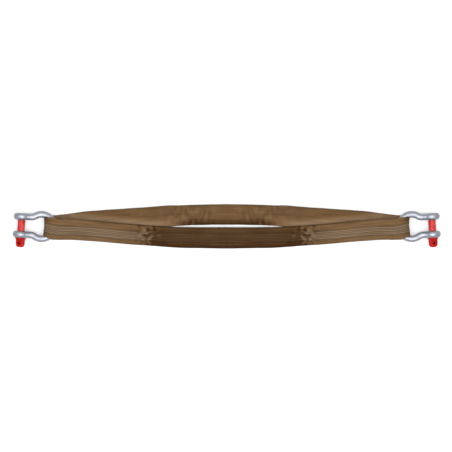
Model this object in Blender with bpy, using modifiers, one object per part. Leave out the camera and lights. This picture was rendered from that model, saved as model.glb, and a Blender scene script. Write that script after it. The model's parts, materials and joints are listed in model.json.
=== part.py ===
"""Endless polyester round sling lying slack on the floor, with a screw-pin bow shackle in each end.

Metres, +Z up. The sling runs along X and lies on z = 0, with the middle of its length at the origin. The front leg
is on the -Y side and shows the outer face of the sleeve. The rear leg is on the +Y side and passes under the front
one towards the ends. A real sleeve and yarn hank are endless: here they are cut at four fold lines, so they can bend.
"""

import math

import bmesh
import bpy
from mathutils import Matrix, Vector

MM = 0.001

# Shackle, after the common 6.5 t size.
BAR_R = 11.2 * MM
PIN_R = 12.7 * MM
EAR_R = 26.5 * MM
EAR_V = 29.5 * MM  # from the bow's middle plane to the middle of an ear
EAR_HALF = 11.2 * MM
EAR_FLAT_R = 18.5 * MM
BOW_INNER_R = 29.0 * MM
BOW_R = BOW_INNER_R + BAR_R
BOW_U = 67.7 * MM  # from the pin axis to the centre of the bow's arc
NECK_R = 24.7 * MM  # the reverse bend between an ear and the arc
CROWN_U = BOW_U + BOW_R
CLEAR_BORE_R = 13.2 * MM
SCREW_BORE_R = 13.0 * MM

# Screw pin.
COLLAR_R = 17.8 * MM
COLLAR_LONG = 4.0 * MM
HEAD_WIDE = 30.0 * MM
HEAD_LONG = 27.0 * MM
HEAD_THICK = 14.0 * MM
HEAD_HOLE_R = 4.8 * MM
HEAD_TURN = math.radians(25)  # how far from level the flat lug has stopped, with its top away from the sling
Z_TO_Y = Matrix.Rotation(-math.pi / 2, 4, "X")
THREAD_LONG = 24.0 * MM
THREAD_PITCH = 4.0 * MM
THREAD_DEEP = 1.1 * MM

# Where the shackles lie: left end, and mirrored for the right.
PIN_X, PIN_Y, PIN_Z = -677.2 * MM, 3.6 * MM, EAR_R
SHACKLE_YAW = math.radians(-3.3)
CROWN_Z = 31.0 * MM
SHACKLE_TILT = math.asin((CROWN_Z - PIN_Z) / CROWN_U)

# Sling.
FRONT_Y, REAR_Y = -37.4 * MM, 38.8 * MM
SPREAD_LENGTH = 850.0 * MM
FRONT_HALF_WIDTH, REAR_HALF_WIDTH = 34.5 * MM, 33.0 * MM
HALF_THICK = 10.6 * MM
WRAP_GAP = 0.6 * MM  # between the bow's bar and the sleeve round it
WRAP_HALF_WIDTH = 24.0 * MM
TURN_HALF_WIDTH = 26.5 * MM
TURN_OUTER = 32.1 * MM  # from the crown's centre to the far side of the sleeve
SLEEVE_WALL = 1.6 * MM
CORE_GAP = 0.6 * MM
RING_POINTS = 18
OVAL_POWER = 0.8
STRAND_DEPTH = 0.05
THINNEST = 4.0 * MM

# Fold lines across the sling, and how far it bends at each.
INNER_FOLD_X, INNER_FOLD_Z = -150.0 * MM, HALF_THICK
OUTER_FOLD_X, OUTER_FOLD_Z = -400.0 * MM, 19.0 * MM
FOLD_ANGLE = math.radians(45)
FOLD_GAP = 1.2 * MM


# ---------- small helpers ----------

def clear_scene():
    for obj in list(bpy.data.objects):
        bpy.data.objects.remove(obj)


def collection(name, hidden=False):
    made = bpy.data.collections.new(name)
    bpy.context.scene.collection.children.link(made)
    made.hide_render = hidden
    return made


def material(name, colour, roughness, metallic=0.0):
    made = bpy.data.materials.new(name)
    made.use_nodes = True
    shader = made.node_tree.nodes["Principled BSDF"]
    shader.inputs["Base Color"].default_value = (*colour, 1.0)
    shader.inputs["Roughness"].default_value = roughness
    shader.inputs["Metallic"].default_value = metallic
    return made


def smoothstep(low, high, value):
    share = min(max((value - low) / (high - low), 0.0), 1.0)
    return share * share * (3 - 2 * share)


def smooth_table(value, table):
    """Height at value on a smooth curve through the rows (position, height), which never overshoots them."""
    value = min(max(value, table[0][0]), table[-1][0])
    k = max(i for i in range(len(table) - 1) if value >= table[i][0])
    slopes = [(b[1] - a[1]) / (b[0] - a[0]) for a, b in zip(table, table[1:])]

    def tangent(i):
        if i in (0, len(table) - 1):
            return 0.0
        before, after = slopes[i - 1], slopes[i]
        return 2 * before * after / (before + after) if before * after > 0 else 0.0

    (x0, y0), (x1, y1) = table[k], table[k + 1]
    long = x1 - x0
    t = (value - x0) / long
    bend = t * t * (3 - 2 * t)
    return (
        y0 + (y1 - y0) * bend
        + long * tangent(k) * t * (1 - t) ** 2
        - long * tangent(k + 1) * t * t * (1 - t)
    )


def add_object(name, mesh_data, into, look, origin=Matrix.Identity(4)):
    """A new object whose mesh is given in the frame of its origin."""
    mesh = bpy.data.meshes.new(name)
    bmesh.ops.recalc_face_normals(mesh_data, faces=mesh_data.faces)
    mesh_data.to_mesh(mesh)
    mesh_data.free()
    made = bpy.data.objects.new(name, mesh)
    into.objects.link(made)
    made.matrix_world = origin
    if look:
        mesh.materials.append(look)
        mesh.shade_smooth()
        mesh.set_sharp_from_angle(angle=math.radians(40))
    return made


def add_strip(shape, first, second):
    """Quads between two closed rings of vertices."""
    for i in range(len(first)):
        j = (i + 1) % len(first)
        shape.faces.new((first[i], first[j], second[j], second[i]))


def loft(rings, close_ends=True):
    """A bmesh skin through the rings. Each ring is a list of points with the same count."""
    shape = bmesh.new()
    rows = [[shape.verts.new(point) for point in ring] for ring in rings]
    for first, second in zip(rows, rows[1:]):
        add_strip(shape, first, second)
    if close_ends:
        shape.faces.new(rows[0])
        shape.faces.new(rows[-1])
    return shape


def turned(name, profile, into, look, origin, steps=24):
    """An object turned round its local Z. The profile (radius, z) runs down its outer side, from axis to axis."""
    mesh = bpy.data.meshes.new(name)
    points = [(radius, 0, z) for radius, z in profile]
    mesh.from_pydata(points, [(i, i + 1) for i in range(len(points) - 1)], [])
    made = bpy.data.objects.new(name, mesh)
    into.objects.link(made)
    made.matrix_world = origin
    if look:
        mesh.materials.append(look)
    screw = made.modifiers.new("Turn", "SCREW")
    screw.axis = "Z"
    screw.steps = screw.render_steps = steps
    screw.use_merge_vertices = True
    screw.merge_threshold = 0.00002
    screw.use_smooth_shade = True
    return made


def cylinder(name, radius, depth, into, origin, steps=24):
    """A cutter along its local Z, turned half a step so that its corners miss those of a turned piece."""
    shape = bmesh.new()
    bmesh.ops.create_cone(shape, cap_ends=True, segments=steps, radius1=radius, radius2=radius, depth=depth)
    shape.transform(Matrix.Rotation(math.pi / steps, 4, "Z"))
    return add_object(name, shape, into, None, origin)


def boolean(target, cutter, operation):
    modifier = target.modifiers.new(operation.title(), "BOOLEAN")
    modifier.operation = operation
    modifier.object = cutter
    modifier.solver = "EXACT"


# ---------- shackle ----------

def shackle_frame(side):
    """The frame of a shackle: X from the pin to the crown, Y along the pin, origin on the pin axis. side is -1 or 1."""
    turn = SHACKLE_YAW if side < 0 else math.pi - SHACKLE_YAW
    place = Matrix.Translation((-side * PIN_X, PIN_Y, PIN_Z))
    return place @ Matrix.Rotation(turn, 4, "Z") @ Matrix.Rotation(-SHACKLE_TILT, 4, "Y")


def bow_path():
    """(point, direction) along the bar's centre line, from one ear to the other, in the shackle's frame."""
    neck_v = EAR_V + NECK_R
    neck_u = BOW_U - math.sqrt((BOW_R + NECK_R) ** 2 - neck_v**2)
    join = math.atan2(neck_v, BOW_U - neck_u)
    half = [(8.0 * MM, EAR_V, 0.0), (20.0 * MM, EAR_V, 0.0)]
    for i in range(6):
        angle = (math.pi / 2 - join) * i / 5
        half.append((neck_u + NECK_R * math.sin(angle), neck_v - NECK_R * math.cos(angle), angle))
    steps = 8
    for i in range(1, steps + 1):
        angle = math.pi - join - (math.pi - join) * i / steps
        half.append((BOW_U + BOW_R * math.cos(angle), BOW_R * math.sin(angle), angle - math.pi / 2))
    path = [(Vector((u, v, 0)), Vector((math.cos(a), math.sin(a), 0))) for u, v, a in half]
    mirrored = [(Vector((p.x, -p.y, 0)), Vector((-d.x, d.y, 0))) for p, d in path[-2::-1]]
    return path + mirrored


def bar_height(u):
    """The bar is taller where it grows out of the ear."""
    return BAR_R + 10.0 * MM * (1 - smoothstep(6 * MM, 44 * MM, u))


def bow_bar():
    rings = []
    steps = 16
    for point, along in bow_path():
        across = Vector((-along.y, along.x, 0))
        height = bar_height(point.x)
        width = BAR_R - (0.3 * MM if point.x < 21 * MM else 0)
        rings.append(
            [
                point
                + across * width * math.cos(2 * math.pi * i / steps)
                + Vector((0, 0, height * math.sin(2 * math.pi * i / steps)))
                for i in range(steps)
            ]
        )
    return loft(rings)


def ear_profile():
    """A round ear with flat faces and rounded edges, turned about its own middle."""
    edge = EAR_R - EAR_FLAT_R
    half = [math.pi * i / 8 for i in range(1, 8)]
    rim = [(EAR_FLAT_R + edge * math.sin(angle), EAR_HALF * math.cos(angle)) for angle in half]
    return [(0, EAR_HALF), (EAR_FLAT_R, EAR_HALF), *rim, (EAR_FLAT_R, -EAR_HALF), (0, -EAR_HALF)]


def along_pin(side, v):
    """A frame whose Z runs along the pin of a shackle, at v from the bow's middle plane."""
    return shackle_frame(side) @ Matrix.Translation((0, v, 0)) @ Z_TO_Y


def build_bow(name, side, parts, cutters, look):
    """The forged bow with both ears. The screwed ear is on the +Y side of the sling at both ends."""
    to_crown = Matrix.Translation((-CROWN_U, 0, 0))
    bar = bow_bar()
    bar.transform(to_crown)
    bow = add_object(name, bar, parts, look, shackle_frame(side) @ to_crown.inverted())
    for v_side, label in ((-1, "low"), (1, "high")):
        place = along_pin(side, v_side * EAR_V)
        boolean(bow, turned(f"{name}_ear_{label}", ear_profile(), cutters, None, place), "UNION")
    for v_side, label in ((-1, "low"), (1, "high")):
        radius = SCREW_BORE_R if v_side * side < 0 else CLEAR_BORE_R
        place = along_pin(side, v_side * EAR_V)
        hole = cylinder(f"{name}_bore_{label}", radius, 2 * EAR_HALF + 6 * MM, cutters, place)
        boolean(bow, hole, "DIFFERENCE")
    return bow


# ---------- screw pin, along local Z with the head towards -Z ----------

def pin_profile():
    """Shank, collar and screwed end, from the tip down. The thread is drawn as rings."""
    tip = EAR_V + EAR_HALF
    seat = -(EAR_V + EAR_HALF + 0.5 * MM)
    crest = PIN_R - 0.2 * MM
    root = crest - THREAD_DEEP
    profile = [(0, tip), (root - 1 * MM, tip)]
    turn = tip - 1.5 * MM
    while turn > tip - THREAD_LONG:
        profile += [(crest, turn), (root, turn - THREAD_PITCH / 2)]
        turn -= THREAD_PITCH
    soft = 0.8 * MM
    profile += [
        (PIN_R, turn),
        (PIN_R, seat),
        (COLLAR_R - soft, seat),
        (COLLAR_R, seat - soft),
        (COLLAR_R, seat - COLLAR_LONG + soft),
        (COLLAR_R - soft, seat - COLLAR_LONG),
        (0, seat - COLLAR_LONG),
    ]
    return profile


def pin_head(name, into, origin):
    """The flat lug below the collar, with two round corners."""
    shape = bmesh.new()
    bmesh.ops.create_cube(shape, size=1.0)
    bmesh.ops.scale(shape, vec=(HEAD_WIDE, HEAD_THICK, HEAD_LONG), verts=shape.verts)
    corners = [
        edge
        for edge in shape.edges
        if all(vert.co.z < 0 for vert in edge.verts) and edge.verts[0].co.x * edge.verts[1].co.x > 0
    ]
    bmesh.ops.bevel(shape, geom=corners, offset=11 * MM, segments=5, profile=0.5, affect="EDGES")
    lug = add_object(name, shape, into, None, origin)
    soft = lug.modifiers.new("Soft edges", "BEVEL")
    soft.width = 1.4 * MM
    soft.segments = 2
    soft.limit_method = "ANGLE"
    return lug


def build_pin(name, side, parts, cutters, look):
    turned_round = Matrix.Rotation(math.pi, 4, "Z") if side > 0 else Matrix.Identity(4)
    origin = shackle_frame(side) @ turned_round @ Z_TO_Y
    collar_end = -(EAR_V + EAR_HALF + COLLAR_LONG + 0.5 * MM)
    leaning = origin @ Matrix.Rotation(side * HEAD_TURN, 4, "Z")
    lug_place = leaning @ Matrix.Translation((0, 0, collar_end + 1 * MM - HEAD_LONG / 2))
    pin = turned(name, pin_profile(), parts, look, origin)
    boolean(pin, pin_head(f"{name}_head", cutters, lug_place), "UNION")
    through = lug_place @ Matrix.Translation((0, 0, -1 * MM)) @ Matrix.Rotation(math.pi / 2, 4, "X")
    boolean(pin, cylinder(f"{name}_eye", HEAD_HOLE_R, 2 * HEAD_THICK, cutters, through, 16), "DIFFERENCE")
    return pin


# ---------- sling ----------

def spread(x):
    """How far the legs have come apart at x, as a share of their distance at mid-length."""
    return 0.5 * (1 + math.cos(math.pi * x / SPREAD_LENGTH))


# The front leg lies on the rear one near the ends: height of its middle, and how far it leans towards the floor.
FRONT_Z = (
    (-557 * MM, CROWN_Z + 21.4 * MM),
    (-530 * MM, 46.0 * MM),
    (-500 * MM, 36.5 * MM),
    (-450 * MM, 29.8 * MM),
    (-400 * MM, 26.0 * MM),
    (-330 * MM, 21.0 * MM),
    (-270 * MM, 17.4 * MM),
    (-230 * MM, 15.2 * MM),
    (-190 * MM, 12.8 * MM),
    (-155 * MM, HALF_THICK),
    (0.0, HALF_THICK),
)
FRONT_ROLL = (
    (-557 * MM, 0.0),
    (-500 * MM, math.radians(11)),
    (-450 * MM, math.radians(18)),
    (-330 * MM, math.radians(19)),
    (-270 * MM, math.radians(17)),
    (-230 * MM, math.radians(14)),
    (-190 * MM, math.radians(8)),
    (-155 * MM, 0.0),
    (0.0, 0.0),
)


def crown_centre():
    return shackle_frame(-1) @ Vector((CROWN_U, 0, 0))


def bow_side_clearance(v):
    """How much further from the crown's axis the inside of the bow is at v than at its middle."""
    return BOW_INNER_R - math.sqrt(max(BOW_INNER_R**2 - v * v, 0.0))


class Station:
    """One cross-section of the sling: an oval across v and w, where w points out of the loop."""

    def __init__(self, origin, across, outward, half_width, inner, outer, hug=0.0, flare=0.0, shift=0.0):
        self.origin, self.across, self.outward = origin, across, outward
        self.half_width, self.inner, self.outer = half_width, inner, outer
        self.hug, self.flare, self.shift = hug, flare, shift

    def ring(self, inset, strand=0.0):
        points = []
        width = self.half_width - inset * (1 + self.hug)
        for i in range(RING_POINTS):
            angle = 2 * math.pi * (i + 0.5) / RING_POINTS
            cos, sin = math.cos(angle), math.sin(angle)
            v = width * math.copysign(abs(cos) ** OVAL_POWER, cos)
            low = self.inner + self.hug * bow_side_clearance(v + self.shift)
            high = self.outer + self.flare * v * v
            low = min(low, high - THINNEST)
            skin = min(inset, (high - low) * 0.18 * inset / MM)
            share = math.copysign(abs(sin) ** OVAL_POWER, sin) * (1 - strand * (i % 2))
            w = (low + high) / 2 + ((high - low) / 2 - skin) * share
            points.append(self.origin + self.across * v + self.outward * w)
        return points


def front_station(x):
    centre = crown_centre()
    left_x = -abs(x)
    reach = left_x - centre.x
    roll = smooth_table(left_x, FRONT_ROLL)
    across = Vector((0, math.cos(roll), math.sin(roll)))
    width = smooth_table(
        reach,
        ((13 * MM, WRAP_HALF_WIDTH), (45 * MM, FRONT_HALF_WIDTH - 1 * MM), (250 * MM, FRONT_HALF_WIDTH)),
    )
    origin = Vector((x, FRONT_Y * spread(x), smooth_table(left_x, FRONT_Z)))
    loose = smoothstep(0.0, 45 * MM, reach)
    origin.y += (1 - loose) * (centre.y - 1.5 * MM - origin.y)
    half = 9.6 * MM + (HALF_THICK - 9.6 * MM) * loose
    hug = 1 - smoothstep(13 * MM, 34 * MM, reach)
    outward = Vector((0, -math.sin(roll), math.cos(roll)))
    return Station(origin, across, outward, width, -half, half, hug, 0.0, origin.y - centre.y)


def rear_station(x):
    centre = crown_centre()
    reach = -abs(x) - centre.x
    width = smooth_table(
        reach,
        ((13 * MM, WRAP_HALF_WIDTH), (45 * MM, REAR_HALF_WIDTH - 1 * MM), (250 * MM, REAR_HALF_WIDTH)),
    )
    loose = smoothstep(0.0, 45 * MM, reach)
    half = 9.6 * MM + (HALF_THICK - 9.6 * MM) * loose
    origin = Vector((x, REAR_Y * spread(x), half))
    origin.y += (1 - loose) * (centre.y + 1.5 * MM - origin.y)
    hug = 1 - smoothstep(13 * MM, 34 * MM, reach)
    return Station(origin, Vector((0, 1, 0)), Vector((0, 0, -1)), width, -half, half, hug, 0.0, origin.y - centre.y)


def turn_station(angle):
    """The sling round the crown: angle 0 is on top of the bar, pi under it."""
    centre = crown_centre()
    across = shackle_frame(-1).to_3x3() @ Vector((0, 1, 0))
    inward = across.cross(Vector((0, 0, 1)))
    outward = -inward * math.sin(angle) + Vector((0, 0, 1)) * math.cos(angle)
    bulge = math.sin(angle) ** 2
    width = WRAP_HALF_WIDTH + (TURN_HALF_WIDTH - WRAP_HALF_WIDTH) * bulge
    outer = CROWN_Z + (TURN_OUTER - CROWN_Z) * bulge
    flare = 6.0 * bulge
    shift = -1.5 * MM * math.cos(angle)
    return Station(
        centre + across * shift, across, outward, width, BAR_R + WRAP_GAP, outer, 1.0, flare, shift
    )


def chevron(points, fold):
    """Moves end points onto the two planes that meet near a fold line, so that the next piece has room to fold.

    fold is (x, z, way), where way is the direction from the fold line into the piece.
    """
    fold_x, fold_z, way = fold
    slope = math.tan(FOLD_ANGLE / 2)
    return [Vector((fold_x + way * (FOLD_GAP / 2 + abs(p.z - fold_z) * slope), p.y, p.z)) for p in points]


def run_of(stations, folds):
    """A function that gives the run's rings at an inset, with each end cut to its fold."""

    def rings_at(inset, strand=0.0):
        rings = [station.ring(inset, strand) for station in stations]
        rings[0] = chevron(rings[0], folds[0])
        rings[-1] = chevron(rings[-1], folds[1])
        return rings

    return rings_at


def mirrored(rings_at):
    return lambda inset, strand=0.0: [[Vector((-p.x, p.y, p.z)) for p in ring] for ring in rings_at(inset, strand)]


def sleeve(rings_at):
    """A tube with both ends open."""
    shape = bmesh.new()
    skins = [[[shape.verts.new(p) for p in ring] for ring in rings_at(inset)] for inset in (0.0, SLEEVE_WALL)]
    for rows in skins:
        for first, second in zip(rows, rows[1:]):
            add_strip(shape, first, second)
    for end in (0, -1):
        add_strip(shape, skins[0][end], skins[1][end])
    return shape


def core(rings_at, folds):
    """The hank of yarn inside a sleeve, with its ends cut to wedges."""
    shape = bmesh.new()
    rows = [[shape.verts.new(p) for p in ring] for ring in rings_at(SLEEVE_WALL + CORE_GAP, STRAND_DEPTH)]
    for first, second in zip(rows, rows[1:]):
        add_strip(shape, first, second)
    add_wedge_cap(shape, rows[0], folds[0])
    add_wedge_cap(shape, rows[-1], folds[1])
    return shape


def add_wedge_cap(shape, row, fold):
    """Closes a ring with an upper and a lower strip that share a middle line on the fold's planes."""
    half = len(row) // 2
    pairs = [(row[i], row[-1 - i]) for i in range(half)]
    middles = [shape.verts.new(p) for p in chevron([(a.co + b.co) / 2 for a, b in pairs[1:-1]], fold)]
    ridge = [None, *middles, None]
    for i in range(half - 1):
        shared = [vert for vert in (ridge[i + 1], ridge[i]) if vert]
        for side in (0, 1):
            shape.faces.new([pairs[i][side], pairs[i + 1][side], *shared])
    shape.faces.new((*pairs[0], middles[0]))
    shape.faces.new((*pairs[-1], middles[-1]))


def even_steps(first, last, count):
    return [first + (last - first) * i / (count - 1) for i in range(count)]


def centre_runs():
    """Each leg between the two inner folds."""
    folds = ((INNER_FOLD_X, INNER_FOLD_Z, 1), (-INNER_FOLD_X, INNER_FOLD_Z, -1))
    near = INNER_FOLD_X + 18 * MM
    xs = [INNER_FOLD_X, *even_steps(near, -near, 4), -INNER_FOLD_X]
    return {leg: (run_of([station(x) for x in xs], folds), folds) for leg, station in LEGS.items()}


def middle_runs():
    """Each leg between the inner and the outer fold of the left side."""
    folds = ((OUTER_FOLD_X, OUTER_FOLD_Z, 1), (INNER_FOLD_X, INNER_FOLD_Z, -1))
    xs = [OUTER_FOLD_X, *even_steps(OUTER_FOLD_X + 22 * MM, INNER_FOLD_X - 14 * MM, 6), INNER_FOLD_X]
    return {leg: (run_of([station(x) for x in xs], folds), folds) for leg, station in LEGS.items()}


def eye_run():
    """The left eye: along the front leg, round the crown of the bow and back along the rear leg."""
    folds = ((OUTER_FOLD_X, OUTER_FOLD_Z, -1),) * 2
    crown_x = crown_centre().x
    reaches = [reach * MM for reach in (145, 118, 92, 70, 52, 38, 26, 13)]
    xs = [OUTER_FOLD_X, *[crown_x + reach for reach in reaches]]
    turns = [turn_station(math.pi * i / 8) for i in range(9)]
    stations = [*[front_station(x) for x in xs], *turns, *[rear_station(x) for x in reversed(xs)]]
    return run_of(stations, folds), folds


def build_sling(parts, fabric, yarn):
    def add_run(label, run, origin_x, origin_z, flip=False):
        rings_at, folds = run
        if flip:
            rings_at, origin_x = mirrored(rings_at), -origin_x
            folds = [(-x, z, -way) for x, z, way in folds]
        origin = Matrix.Translation((origin_x, 0, origin_z))
        for kind, shape, look in (("sleeve", sleeve(rings_at), fabric), ("core", core(rings_at, folds), yarn)):
            shape.transform(origin.inverted())
            add_object(f"{label}_{kind}", shape, parts, look, origin)

    for leg, run in centre_runs().items():
        add_run(f"centre_{leg}", run, 0.0, INNER_FOLD_Z)
    for end, flip in (("left", False), ("right", True)):
        for leg, run in middle_runs().items():
            add_run(f"{end}_middle_{leg}", run, INNER_FOLD_X, INNER_FOLD_Z, flip)
        add_run(f"{end}_eye", eye_run(), OUTER_FOLD_X, OUTER_FOLD_Z, flip)


LEGS = {"front": front_station, "rear": rear_station}


def main():
    clear_scene()
    parts = collection("round_sling_with_shackles")
    cutters = collection("cutters", hidden=True)
    fabric = material("woven_polyester_brown", (0.16, 0.10, 0.05), 0.85)
    yarn = material("polyester_yarn", (0.75, 0.73, 0.66), 0.8)
    steel = material("galvanised_steel", (0.62, 0.65, 0.70), 0.35, 1.0)
    red = material("red_painted_steel", (0.60, 0.02, 0.02), 0.3)
    build_sling(parts, fabric, yarn)
    for side, end in ((-1, "left"), (1, "right")):
        build_bow(f"{end}_bow", side, parts, cutters, steel)
        build_pin(f"{end}_screw_pin", side, parts, cutters, red)
    for cutter in cutters.objects:
        cutter.display_type = "WIRE"
        cutter.hide_render = True


main()
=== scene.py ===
"""Looks of a brown endless round sling that lies slack between two galvanised bow shackles.

Each shackle has a red screw pin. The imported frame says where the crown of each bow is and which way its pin
lies. The sling's legs follow the tables below and meet in an eye round each crown. s runs along the loop
from mid-length, v across the sling and w out of it.
"""

import json
import math

import bmesh
import bpy
import numpy as np
from mathutils import Matrix, Vector, noise


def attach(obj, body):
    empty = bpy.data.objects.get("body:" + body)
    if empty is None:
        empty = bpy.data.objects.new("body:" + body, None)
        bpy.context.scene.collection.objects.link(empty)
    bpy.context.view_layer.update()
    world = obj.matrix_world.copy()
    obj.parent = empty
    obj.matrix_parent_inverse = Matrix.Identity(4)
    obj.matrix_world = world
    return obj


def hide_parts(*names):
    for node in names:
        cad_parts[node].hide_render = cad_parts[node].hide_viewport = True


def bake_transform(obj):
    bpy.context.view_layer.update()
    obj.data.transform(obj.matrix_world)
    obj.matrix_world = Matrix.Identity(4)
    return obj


MM = 0.001
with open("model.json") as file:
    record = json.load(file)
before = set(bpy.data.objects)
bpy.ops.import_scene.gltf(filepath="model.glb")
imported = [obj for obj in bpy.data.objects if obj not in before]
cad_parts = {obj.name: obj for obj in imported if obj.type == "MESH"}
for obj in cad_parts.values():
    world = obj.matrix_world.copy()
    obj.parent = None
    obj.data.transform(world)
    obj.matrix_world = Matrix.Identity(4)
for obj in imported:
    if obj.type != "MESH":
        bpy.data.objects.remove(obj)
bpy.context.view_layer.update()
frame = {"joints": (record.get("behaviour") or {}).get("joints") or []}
JOINTS = {joint["name"]: joint for joint in frame["joints"]}

# Shackle.
BAR_R = 11.2 * MM
PIN_R = 12.7 * MM
EAR_R = 26.5 * MM
EAR_V = 29.5 * MM
EAR_HALF = 11.2 * MM
EAR_FLAT_R = 17.0 * MM
BOW_INNER_R = 29.0 * MM
BOW_R = BOW_INNER_R + BAR_R
BOW_U = 67.7 * MM
NECK_R = 24.7 * MM
CROWN_U = BOW_U + BOW_R
BORE_R = 13.2 * MM
BORE_LIP = 1.6 * MM

# Screw pin.
PIN_PLAY = 0.15 * MM
PIN_CHAMFER = 2.2 * MM
COLLAR_R = 17.8 * MM
COLLAR_LONG = 4.0 * MM
COLLAR_END = -(EAR_V + EAR_HALF + 0.5 * MM + COLLAR_LONG)
HEAD_WIDE = 30.0 * MM
HEAD_LONG = 27.0 * MM
HEAD_THICK = 14.0 * MM
HEAD_STRAIGHT = 13.0 * MM
HEAD_IN_COLLAR = 1.2 * MM
HEAD_HOLE_R = 4.0 * MM
HEAD_HOLE_LIP = 0.3 * MM
HEAD_HOLE_FROM_COLLAR = 13.5 * MM
HEAD_TURN = math.radians(25)
THREAD_LONG = 24.0 * MM
THREAD_PITCH = 3.2 * MM
THREAD_DEEP = 1.3 * MM

# Sling.
RING_STEP = 3.5 * MM
HALF_THICK = 10.6 * MM
END_HALF_THICK = 9.6 * MM
THINNING_LONG = 45.0 * MM
THINNEST = 4.0 * MM
LOWEST = 0.1 * MM
WRAP_GAP = 0.6 * MM
FRONT_HUG = (13 * MM, 34 * MM)
REAR_HUG = (13 * MM, 64 * MM)
TURN_HALF_WIDTH = 27.6 * MM
TURN_OUTER = 32.1 * MM
TURN_LONG = 88.0 * MM
TURN_STEP = RING_STEP / (28 * MM)
OVAL_POWER = 0.78
EDGE_STEPS, ZONE_STEPS, INNER_STEPS = 12, 38, 34
STANDARD_GIRTH = 160.0 * MM
STRIPE_PITCH = 5.4 * MM
STRIPE_ZONE = 17.1 * MM
RIB_HEIGHT = 0.35 * MM
BORDER_DEPTH = 0.4 * MM
WAVE_HEIGHT = 0.8 * MM
STREAK_HEIGHT = 0.55 * MM
RUMPLE_HEIGHT = 1.5 * MM
PLEAT_HEIGHT = 0.8 * MM
CREASE_X = 260.0 * MM
CREASE_GAIN = 1.6
CREASE_REACH = 70.0 * MM
# Painted shade per metre of a crease's depth.
CREASE_SHADE_GAIN = 170
CENTRE_CUT = 275.0 * MM
END_CUT = 490.0 * MM

CROWN = Vector(JOINTS["left_shackle_swing"]["pos_m"])
ACROSS_CROWN = Vector(JOINTS["left_shackle_swing"]["axis"]).normalized()
SHACKLE_TILT = math.asin((CROWN.z - EAR_R) / CROWN_U)
LOOP_HALF = 2 * -CROWN.x + TURN_LONG

# The legs as tables of (distance from mid-length, value), in mm and degrees: where a leg's middle line is
# across the sling, how high, how far it leans, and its half width. The front leg leans on the rear one near
# the ends.
FRONT_Y = (
    (0, -37.8),
    (150, -36.4),
    (220, -32.6),
    (280, -28.6),
    (342, -23.8),
    (418, -16.9),
    (464, -13.2),
    (515, -10.4),
    (550, -10.0),
    (570, -6.8),
)
REAR_Y = (
    (0, 39.7),
    (75, 38.8),
    (154, 36.3),
    (194, 34.4),
    (233, 31.2),
    (273, 28.9),
    (312, 26.4),
    (352, 24.4),
    (392, 22.0),
    (431, 19.0),
    (471, 15.6),
    (510, 10.8),
    (550, 7.4),
    (570, 5.4),
)
FRONT_Z = (
    (0, 10.6),
    (155, 10.6),
    (190, 12.8),
    (230, 15.2),
    (270, 17.4),
    (330, 21.0),
    (400, 26.2),
    (450, 30.4),
    (500, 37.6),
    (530, 46.0),
    (557, 52.4),
    (570, 52.4),
)
FRONT_LEAN = (
    (0, 0),
    (155, 0),
    (190, 8),
    (230, 14),
    (270, 17),
    (330, 19),
    (450, 18),
    (500, 11),
    (557, 0),
    (570, 0),
)
FRONT_HALF_WIDTH = (
    (0, 35.0),
    (150, 34.1),
    (220, 34.0),
    (330, 35.0),
    (450, 35.0),
    (515, 33.8),
    (548, 33.6),
    (570, 36.6),
)
REAR_HALF_WIDTH = (
    (0, 33.8),
    (120, 33.4),
    (163, 33.5),
    (184, 35.0),
    (205, 35.2),
    (300, 34.2),
    (480, 33.2),
    (520, 32.6),
    (570, 31.8),
)


def smooth_table(value, table):
    """Height at value on a smooth curve through the rows (position, height). It never overshoots them."""
    value = min(max(value, table[0][0]), table[-1][0])
    k = max(i for i in range(len(table) - 1) if value >= table[i][0])
    slopes = [(b[1] - a[1]) / (b[0] - a[0]) for a, b in zip(table, table[1:])]

    def tangent(i):
        if i in (0, len(table) - 1):
            return 0.0
        before, after = slopes[i - 1], slopes[i]
        return 2 * before * after / (before + after) if before * after > 0 else 0.0

    (x0, y0), (x1, y1) = table[k], table[k + 1]
    long = x1 - x0
    t = (value - x0) / long
    bend = t * t * (3 - 2 * t)
    return (
        y0
        + (y1 - y0) * bend
        + long * tangent(k) * t * (1 - t) ** 2
        - long * tangent(k + 1) * t * t * (1 - t)
    )


def smoothstep(low, high, value):
    """0 up to low, 1 from high on, and a smooth rise between."""
    share = min(max((value - low) / (high - low), 0.0), 1.0)
    return share * share * (3 - 2 * share)


# ---------- the sling's skin ----------

class Section:
    """A cross-section of the sling, between the heights inner and outer.

    hug is how far the inner face follows the bow's curve, from 0 to 1, flare how much the outer one bends
    away from the crown, and shift the section's place across the bow.
    """

    def __init__(self, along, origin, across, outward, half_width, inner, outer, hug, flare, shift):
        self.along, self.origin, self.across, self.outward = along, origin, across, outward
        self.half_width, self.inner, self.outer = half_width, inner, outer
        self.hug, self.flare, self.shift = hug, flare, shift

    def span(self, v):
        """(inner, outer) height of the section at v."""
        outer = self.outer + self.flare * v * v
        inner = self.inner + self.hug * bow_side_clearance(v + self.shift)
        return min(inner, outer - THINNEST), outer


def bow_side_clearance(v):
    """How much further from the crown's axis the inside of the bow is at v than at its middle."""
    return BOW_INNER_R - math.sqrt(max(BOW_INNER_R**2 - v * v, 0.0))


def half_thickness(reach):
    """Half the thickness of a leg at a distance from the crown."""
    return HALF_THICK - (HALF_THICK - END_HALF_THICK) * (1 - smoothstep(0.0, THINNING_LONG, reach))


def front_section(far):
    """Section of the front leg at a distance from mid-length, on the left."""
    mm = far / MM
    reach = -CROWN.x - far
    lean = math.radians(smooth_table(mm, FRONT_LEAN))
    across = Vector((0, math.cos(lean), math.sin(lean)))
    outward = Vector((0, -math.sin(lean), math.cos(lean)))
    origin = Vector((-far, smooth_table(mm, FRONT_Y) * MM, smooth_table(mm, FRONT_Z) * MM))
    half = half_thickness(reach)
    hug = 1 - smoothstep(*FRONT_HUG, reach)
    half_width = smooth_table(mm, FRONT_HALF_WIDTH) * MM
    return Section(far, origin, across, outward, half_width, -half, half, hug, 0.0, origin.y - CROWN.y)


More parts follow.
